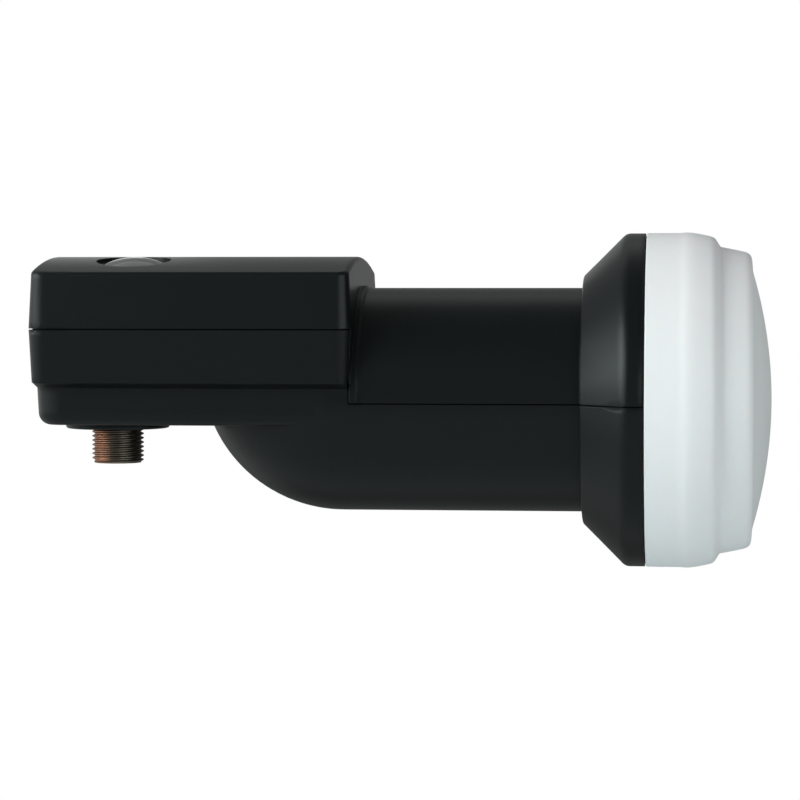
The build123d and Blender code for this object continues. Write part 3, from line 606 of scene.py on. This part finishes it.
@dataclass
class Wardrobe:
    """The finishes made so far, each once."""

    made: dict[Slot, bpy.types.Material] = field(default_factory=dict)

    def of(self, slot: Slot) -> bpy.types.Material:
        """Look up a finish, and make it the first time.

        Args:
            slot: Material slot of the record.

        Returns:
            The material.
        """
        if slot not in self.made:
            self.made[slot] = FINISHES[slot].material()
        return self.made[slot]


@dataclass
class SubAssembly:
    """CAD pieces that come off the bench together."""

    wardrobe: Wardrobe
    pieces: dict[str, Slot]

    def dress(self) -> None:
        """Give each piece its finish."""
        for name, slot in self.pieces.items():
            material = self.wardrobe.of(slot)
            dress(frame["nodes"][name], material)
            log.info("%s: dressed %s in %s", type(self).__name__, name, material.name)

    def build(self) -> None:
        """Build what the CAD leaves to the scene, and dress everything."""
        self.dress()


@dataclass
class Housing(SubAssembly):
    """Moulded box, neck and flange in two shells."""

    pieces: dict[str, Slot] = field(
        default_factory=lambda: {"upper_shell": Slot.SHELL, "lower_shell": Slot.SHELL}
    )


@dataclass
class WeatherCap(SubAssembly):
    """White cap over the feed, with the ring that seals it."""

    pieces: dict[str, Slot] = field(
        default_factory=lambda: {"feed_cap": Slot.CAP, "cap_seal_ring": Slot.SEAL}
    )
    # X and radius of the outer face: rim, bead, shoulder, step, tier, and the flat land
    outer_mm: tuple[tuple[float, float], ...] = (
        (31.2, 29.6),
        (31.3, 29.75),
        (31.5, 29.75),
        (36.8, 29.75),
        (37.2, 29.755),
        (37.8, 29.82),
        (38.2, 29.84),
        (38.8, 29.83),
        (40.0, 29.68),
        (41.0, 29.48),
        (42.1, 29.25),
        (42.6, 29.12),
        (43.0, 28.95),
        (43.3, 28.7),
        (43.55, 28.35),
        (44.1, 27.45),
        (44.2, 27.32),
        (44.35, 27.26),
        (44.6, 27.21),
        (46.9, 26.75),
        (48.4, 26.42),
        (48.9, 26.25),
        (49.35, 25.95),
        (49.62, 25.55),
        (49.73, 25.1),
        (49.76, 24.7),
        (49.77, 23.9),
        (49.82, 23.3),
    )
    inner_mm: tuple[tuple[float, float], ...] = (
        (48.3, 24.0),
        (42.7, 25.7),
        (42.7, 27.5),
        (38.0, 28.4),
        (31.2, 28.4),
    )
    tip_x_mm: float = 53.3
    dome_r_mm: float = 78.0
    dome_edge_mm: float = 22.8
    wall_mm: float = 1.5
    dome_rings: int = 12
    steps: int = 160
    sharp_deg: float = 50.0

    def dome(self, tip_x_mm: float) -> list[tuple[float, float]]:
        """Draw a domed face from its edge to the axis.

        Args:
            tip_x_mm: X of the dome's middle.

        Returns:
            X and radius of each ring.
        """
        shares = (1 - i / self.dome_rings for i in range(self.dome_rings + 1))
        rings = [self.dome_edge_mm * share for share in shares]
        return [(tip_x_mm - r * r / (2 * self.dome_r_mm), r) for r in rings]

    def turned(self) -> bpy.types.Object:
        """Spin the cap's section round the feed axis.

        Returns:
            The finished piece.
        """
        front = self.dome(self.tip_x_mm)
        back = self.dome(self.tip_x_mm - self.wall_mm)[::-1]
        walls = [self.inner_mm[-1], *self.outer_mm, *front], [*back, *self.inner_mm]
        mesh = bmesh.new()
        for line in walls:
            verts = [mesh.verts.new((x, 0.0, r)) for x, r in line]
            edges = [mesh.edges.new(pair) for pair in zip(verts, verts[1:])]
            bmesh.ops.spin(
                mesh,
                geom=verts + edges,
                cent=(0, 0, 0),
                axis=(1, 0, 0),
                angle=2 * math.pi,
                steps=self.steps,
                use_merge=True,
            )
        bmesh.ops.remove_doubles(mesh, verts=mesh.verts, dist=MERGE_MM)
        bmesh.ops.recalc_face_normals(mesh, faces=mesh.faces)
        bmesh.ops.transform(mesh, matrix=Matrix.Scale(MM, 4), verts=mesh.verts)
        piece = make_piece("turned_cap", mesh)
        smooth(piece, self.sharp_deg)
        return piece

    def build(self) -> None:
        """Put the cap with its bead and land in the place of the plainer one, and dress all."""
        self.dress()
        piece = self.turned()
        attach(piece, BODY)
        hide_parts("feed_cap")
        dress(piece, self.wardrobe.of(Slot.CAP))
        log.info("WeatherCap: built %s, %d faces", piece.name, len(piece.data.polygons))


@dataclass
class Badge(SubAssembly):
    """Domed badge in the recess of the cover, its face left plain."""

    pieces: dict[str, Slot] = field(default_factory=lambda: {"badge": Slot.BADGE})


@dataclass
class FeedHorn(SubAssembly):
    """Cast horn and waveguide with its pin, probes and bushes."""

    pieces: dict[str, Slot] = field(
        default_factory=lambda: {
            "horn_casting": Slot.CASTING,
            "isolation_pin": Slot.STEEL,
            "probe_vertical": Slot.BRASS,
            "probe_horizontal": Slot.BRASS,
            "probe_bushes": Slot.BUSH,
        }
    )


@dataclass
class Converter(SubAssembly):
    """Circuit board, what is soldered on it, and the screened cover above."""

    pieces: dict[str, Slot] = field(
        default_factory=lambda: {
            "circuit_board": Slot.BOARD,
            "converter_chip": Slot.CHIP,
            "lna_transistors": Slot.CHIP,
            "voltage_regulator": Slot.CHIP,
            "chip_resistors": Slot.CHIP,
            "chip_capacitors": Slot.CAPACITOR,
            "bias_inductor": Slot.FERRITE,
            "crystal": Slot.STEEL,
            "shield_gasket": Slot.SEAL,
            "shield_cover": Slot.CASTING,
            "shield_screws": Slot.STEEL,
        }
    )


@dataclass
class CoaxSocket(SubAssembly):
    """Threaded coaxial socket under the box, with its thread cut."""

    pieces: dict[str, Slot] = field(
        default_factory=lambda: {
            "connector_body": Slot.SOCKET,
            "connector_insulator": Slot.BUSH,
            "connector_contact": Slot.BRASS,
            "connector_seal": Slot.SEAL,
        }
    )
    axis_x_mm: float = -64.7
    end_z_mm: float = -11.75
    thread_top_z_mm: float = -5.45
    shoulder_z_mm: float = -2.29
    shank_top_z_mm: float = 7.0
    crest_r_mm: float = 4.7
    root_r_mm: float = 4.2
    relief_r_mm: float = 4.4
    shank_r_mm: float = 4.0
    bore_r_mm: float = 3.0
    pitch_mm: float = 0.794
    crest_mm: float = 0.14
    chamfer_mm: float = 0.5
    steps_per_turn: int = 64
    sharp_deg: float = 35.0
    cut_mm: float = 0.0005
    end_slack_mm: float = 0.01

    def thread(self, mesh: bmesh.types.BMesh) -> None:
        """Sweep one pitch of the thread's section round and along the axis.

        Args:
            mesh: Mesh that takes the thread.
        """
        low = self.end_z_mm - self.pitch_mm
        flank = (self.pitch_mm - 2 * self.crest_mm) / 2
        steps = [
            (self.root_r_mm, 0.0),
            (self.root_r_mm, self.crest_mm),
            (self.crest_r_mm, self.crest_mm + flank),
            (self.crest_r_mm, 2 * self.crest_mm + flank),
            (self.root_r_mm, self.pitch_mm),
        ]
        section = [mesh.verts.new((r, 0.0, low + z)) for r, z in steps]
        edges = [mesh.edges.new(pair) for pair in zip(section, section[1:])]
        turns = math.ceil((self.thread_top_z_mm - low) / self.pitch_mm) + 1
        bmesh.ops.spin(
            mesh,
            geom=section + edges,
            cent=(0, 0, 0),
            axis=(0, 0, 1),
            dvec=(0, 0, self.pitch_mm / self.steps_per_turn),
            angle=2 * math.pi * turns,
            steps=self.steps_per_turn * turns,
        )
        bmesh.ops.remove_doubles(mesh, verts=mesh.verts, dist=MERGE_MM)

    def trim(self, mesh: bmesh.types.BMesh, height: float, upward: bool) -> None:
        """Cut the thread off square at a height.

        Args:
            mesh: The thread.
            height: Height of the cut.
            upward: Whether what lies above the cut goes.
        """
        bmesh.ops.bisect_plane(
            mesh,
            geom=mesh.verts[:] + mesh.edges[:] + mesh.faces[:],
            dist=self.cut_mm,
            plane_co=(0, 0, height),
            plane_no=(0, 0, 1),
            clear_outer=upward,
            clear_inner=not upward,
        )

    def chamfer(self, mesh: bmesh.types.BMesh) -> None:
        """Turn the end of the thread down to its chamfer.

        Args:
            mesh: The thread.
        """
        for vert in mesh.verts:
            limit = self.crest_r_mm - self.chamfer_mm + vert.co.z - self.end_z_mm
            reach = vert.co.xy.length
            if reach > limit:
                vert.co.xy *= limit / reach

    def ring(
        self, mesh: bmesh.types.BMesh, edges: list[bmesh.types.BMEdge], radius: float, height: float
    ) -> list[bmesh.types.BMEdge]:
        """Extrude a loop of edges to a ring of another radius and height.

        Args:
            mesh: The socket.
            edges: Loop to extrude.
            radius: Radius of the new ring.
            height: Height of the new ring.

        Returns:
            Edges of the new ring.
        """
        made = bmesh.ops.extrude_edge_only(mesh, edges=edges)["geom"]
        for vert in (v for v in made if isinstance(v, bmesh.types.BMVert)):
            reach = vert.co.xy.length
            vert.co.xy *= radius / reach
            vert.co.z = height
        return [e for e in made if isinstance(e, bmesh.types.BMEdge) and e.is_boundary]

    def body(self) -> bpy.types.Object:
        """Model the socket in millimetres and place it.

        Returns:
            The finished piece.
        """
        mesh = bmesh.new()
        self.thread(mesh)
        self.trim(mesh, self.thread_top_z_mm, True)
        self.trim(mesh, self.end_z_mm, False)
        self.chamfer(mesh)
        low = self.end_z_mm + self.end_slack_mm
        loop = [e for e in mesh.edges if e.is_boundary and e.verts[0].co.z < low]
        for radius, height in (
            (self.bore_r_mm, self.end_z_mm),
            (self.bore_r_mm, self.shank_top_z_mm),
            (self.shank_r_mm, self.shank_top_z_mm),
            (self.shank_r_mm, self.shoulder_z_mm),
            (self.relief_r_mm, self.shoulder_z_mm),
            (self.relief_r_mm, self.thread_top_z_mm),
        ):
            loop = self.ring(mesh, loop, radius, height)
        top = [e for e in mesh.edges if e.is_boundary and e not in loop]
        bmesh.ops.bridge_loops(mesh, edges=loop + top)
        bmesh.ops.recalc_face_normals(mesh, faces=mesh.faces)
        place = Matrix.Scale(MM, 4) @ Matrix.Translation((self.axis_x_mm, 0, 0))
        bmesh.ops.transform(mesh, matrix=place, verts=mesh.verts)
        piece = make_piece("threaded_socket", mesh)
        smooth(piece, self.sharp_deg)
        return piece

    def build(self) -> None:
        """Put the cut thread in the place of the plain socket, and dress everything."""
        self.dress()
        piece = self.body()
        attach(piece, BODY)
        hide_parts("connector_body")
        dress(piece, self.wardrobe.of(Slot.SOCKET))
        log.info("CoaxSocket: built %s, %d faces", piece.name, len(piece.data.polygons))


@dataclass(frozen=True)
class Softbox:
    """A rectangular lamp that faces the part."""

    name: str
    place_mm: tuple[float, float, float]
    size_mm: tuple[float, float]
    watts: float


@dataclass
class Studio:
    """White sweep, softboxes and the camera of the photograph."""

    lamps: tuple[Softbox, ...] = (
        Softbox(name="key_softbox", place_mm=(-596, -284, 262), size_mm=(720, 400), watts=5.9),
        Softbox(name="top_softbox", place_mm=(-60, 430, 560), size_mm=(700, 280), watts=0.22),
        Softbox(name="right_softbox", place_mm=(482, -495, 120), size_mm=(750, 160), watts=1.1),
        Softbox(name="rim_softbox", place_mm=(-200, 600, 140), size_mm=(80, 220), watts=0.024),
    )
    floor_z_mm: float = -150.0
    floor_half_mm: float = 4000.0
    floor_paint: str = "#DDE6E8"
    shade_in_mm: float = 140.0
    shade_out_mm: float = 340.0
    # Painted shadow in the floor's reflections: the depths behind the part where it starts, the
    # share of glow left in it, and the leftward reach it fades over
    painted_shadow_mm: tuple[float, float] = (20.0, 60.0)
    painted_shadow: float = 0.33
    painted_shadow_left: tuple[float, float] = (-0.75, -0.45)
    target_mm: tuple[float, float, float] = (-13.1, 0.0, -0.2)
    azimuth_deg: float = 5.8
    elevation_deg: float = 2.3
    distance_mm: float = 520.0
    focal_px: float = 2886.0
    image_px: float = 800.0
    sensor_mm: float = 36.0
    clip_mm: float = 10.0
    backdrop: tuple[float, float, float] = (-0.85, 0.5, 0.0)
    backdrop_from: float = 0.1
    backdrop_to: float = 0.75
    sweep_from: float = -0.1
    sweep_to: float = 0.36
    sweep_top: float = 0.27
    below_from: float = -0.05
    below_to: float = -0.25
    below: float = 0.5
    wall_low: float = 0.5
    wall: float = 0.17
    fill_back: float = 0.1
    fill_front: float = 0.18

    def level(self, tree: Tree, ray: Socket) -> Socket:
        """Grade the room: a white sweep behind and to the left, dim walls, a dark ceiling.

        Args:
            tree: Node tree that asks.
            ray: Direction asked for, of length 1.

        Returns:
            Brightness in that direction: white to the camera and through clear things, the
            graded room to sheen, and the room with its even fill to matt surfaces.
        """
        height = add_node(tree, "ShaderNodeSeparateXYZ", {0: ray}, "Z")
        front, towards = (
            add_node(
                tree, "ShaderNodeVectorMath", {0: ray, 1: way}, "Value", operation="DOT_PRODUCT"
            )
            for way in ((0, -1, 0), self.backdrop)
        )
        rise = {
            "Value": height,
            "From Min": self.sweep_from,
            "From Max": self.sweep_to,
            "To Min": 1.0,
            "To Max": self.sweep_top,
        }
        above = add_node(tree, "ShaderNodeMapRange", rise, interpolation_type="SMOOTHSTEP")
        drop = {
            "Value": height,
            "From Min": self.below_to,
            "From Max": self.below_from,
            "To Min": self.below,
            "To Max": 1.0,
        }
        below = add_node(tree, "ShaderNodeMapRange", drop, interpolation_type="SMOOTHSTEP")
        sweep = add_node(tree, "ShaderNodeMath", {0: above, 1: below}, operation="MULTIPLY")
        sides = {
            "Value": height,
            "From Min": self.below_to,
            "From Max": 0.0,
            "To Min": self.wall_low,
            "To Max": self.wall,
        }
        walls = add_node(tree, "ShaderNodeMapRange", sides)
        turn = {
            "Value": towards,
            "From Min": self.backdrop_from,
            "From Max": self.backdrop_to,
            "To Min": walls,
            "To Max": sweep,
        }
        room = add_node(tree, "ShaderNodeMapRange", turn, interpolation_type="SMOOTHSTEP")
        even = {
            "Value": front,
            "From Min": -1.0,
            "From Max": 1.0,
            "To Min": self.fill_back,
            "To Max": self.fill_front,
        }
        fill = add_node(tree, "ShaderNodeMapRange", even)
        path = add_node(tree, "ShaderNodeLightPath", {}).node.outputs
        lit = {0: path["Is Diffuse Ray"], 1: fill, 2: room}
        matt = add_node(tree, "ShaderNodeMath", lit, operation="MULTIPLY_ADD")
        rays = {0: path["Is Camera Ray"], 1: path["Is Transmission Ray"]}
        clear = add_node(tree, "ShaderNodeMath", rays, operation="MAXIMUM")
        return add_node(tree, "ShaderNodeMath", {0: matt, 1: clear}, operation="MAXIMUM")

    def world(self) -> None:
        """Put the room round the part."""
        world = bpy.data.worlds.new("studio_room")
        bpy.context.scene.world = world
        world.use_nodes = True
        tree = world.node_tree
        ray = add_node(tree, "ShaderNodeTexCoord", {}, "Generated")
        light = {"Strength": self.level(tree, ray), "Color": linear("#FFFFFF")}
        feed(tree, tree.nodes["Background"], light)

    def floor_material(self) -> bpy.types.Material:
        """Paint the floor: it takes the part's shadow, and in reflections carries a painted shadow
        behind the part; further out it goes over into the sweep.

        Returns:
            The material.
        """
        made = bpy.data.materials.new("painted_white_floor")
        made.use_nodes = True
        tree = made.node_tree
        tree.nodes.remove(tree.nodes["Principled BSDF"])
        place = add_node(tree, "ShaderNodeTexCoord", {}, "Object")
        outward = add_node(tree, "ShaderNodeVectorMath", {0: place}, operation="NORMALIZE")
        plan = {0: place, 1: (1, 1, 0)}
        flat = add_node(tree, "ShaderNodeVectorMath", plan, operation="MULTIPLY")
        reach = add_node(tree, "ShaderNodeVectorMath", {0: flat}, "Value", operation="LENGTH")
        rim = {
            "Value": reach,
            "From Min": self.shade_in_mm * MM,
            "From Max": self.shade_out_mm * MM,
        }
        far = add_node(tree, "ShaderNodeMapRange", rim, interpolation_type="SMOOTHSTEP")
        path = add_node(tree, "ShaderNodeLightPath", {}).node.outputs
        sheen = path["Is Glossy Ray"]
        matt = {0: 1.0, 1: path["Is Diffuse Ray"]}
        seen = add_node(tree, "ShaderNodeMath", matt, operation="SUBTRACT")
        back = add_node(tree, "ShaderNodeSeparateXYZ", {0: place}, "Y")
        side = add_node(tree, "ShaderNodeSeparateXYZ", {0: outward}, "X")
        # Painted shadow: reflections of the floor behind the part, and not far to its left, are
        # dimmed in place of the part's own shadow
        depth = {
            "Value": back,
            "From Min": self.painted_shadow_mm[0] * MM,
            "From Max": self.painted_shadow_mm[1] * MM,
            "To Max": sheen,
        }
        behind = add_node(tree, "ShaderNodeMapRange", depth)
        width = {"Value": side, "From Min": self.painted_shadow_left[0], "From Max": self.painted_shadow_left[1]}
        beside = add_node(tree, "ShaderNodeMapRange", width)
        painted_shadow = add_node(tree, "ShaderNodeMath", {0: behind, 1: beside}, operation="MULTIPLY")
        dull = {"Value": painted_shadow, "To Min": 1.0, "To Max": self.painted_shadow}
        damp = add_node(tree, "ShaderNodeMapRange", dull)
        glow = {0: self.level(tree, outward), 1: damp}
        dark = add_node(tree, "ShaderNodeMath", glow, operation="MULTIPLY")
        paint = add_node(tree, "ShaderNodeBsdfDiffuse", {"Color": linear(self.floor_paint)})
        sweep = add_node(tree, "ShaderNodeEmission", {"Strength": dark})
        shown = add_node(tree, "ShaderNodeMath", {0: far, 1: seen}, operation="MULTIPLY")
        share = add_node(tree, "ShaderNodeMath", {0: shown, 1: sheen}, operation="MAXIMUM")
        mix = add_node(tree, "ShaderNodeMixShader", {0: share, 1: paint, 2: sweep})
        feed(tree, tree.nodes["Material Output"], {"Surface": mix})
        return made

    def floor(self) -> None:
        """Lay the floor well below the part, which a dish's arm holds."""
        mesh = bmesh.new()
        bmesh.ops.create_grid(
            mesh,
            x_segments=1,
            y_segments=1,
            size=self.floor_half_mm * MM,
            matrix=Matrix.Translation((0, 0, self.floor_z_mm * MM)),
        )
        piece = make_piece("floor", mesh)
        dress(piece, self.floor_material())

    def hang(self, lamp: Softbox) -> None:
        """Hang a softbox.

        Args:
            lamp: What and where it is.
        """
        light = bpy.data.lights.new(lamp.name, "AREA")
        light.shape = "RECTANGLE"
        light.size, light.size_y = (side * MM for side in lamp.size_mm)
        light.energy = lamp.watts
        holder = bpy.data.objects.new(lamp.name, light)
        holder.location = Vector(lamp.place_mm) * MM
        aim = Vector(self.target_mm) * MM - holder.location
        holder.rotation_euler = aim.to_track_quat("-Z", "Y").to_euler()
        bpy.context.scene.collection.objects.link(holder)

    def camera(self) -> None:
        """Set the camera where the photograph was taken from."""
        lens = bpy.data.cameras.new("camera")
        lens.sensor_width = self.sensor_mm
        lens.lens = self.sensor_mm * self.focal_px / self.image_px
        lens.clip_start = self.clip_mm * MM
        holder = bpy.data.objects.new("camera", lens)
        azimuth = math.radians(self.azimuth_deg)
        elevation = math.radians(self.elevation_deg)
        back = Vector(
            (
                math.sin(azimuth) * math.cos(elevation),
                -math.cos(azimuth) * math.cos(elevation),
                math.sin(elevation),
            )
        )
        holder.location = (Vector(self.target_mm) + back * self.distance_mm) * MM
        holder.rotation_euler = (-back).to_track_quat("-Z", "Y").to_euler()
        bpy.context.scene.collection.objects.link(holder)
        bpy.context.scene.camera = holder

    def build(self) -> None:
        """Set up the whole studio."""
        bpy.context.scene.view_settings.view_transform = "Standard"
        self.world()
        self.floor()
        for lamp in self.lamps:
            self.hang(lamp)
        self.camera()
        log.info("Studio: %d softboxes, camera at %.0f mm", len(self.lamps), self.distance_mm)


SUB_ASSEMBLIES = (Housing, WeatherCap, Badge, FeedHorn, Converter, CoaxSocket)


def main() -> None:
    """Build and dress each sub-assembly, then set up the studio."""
    logging.basicConfig(level=logging.INFO, format="%(name)s: %(message)s")
    wardrobe = Wardrobe()
    for kind in SUB_ASSEMBLIES:
        kind(wardrobe).build()
    Studio().build()


if __name__ == "__main__":
    main()
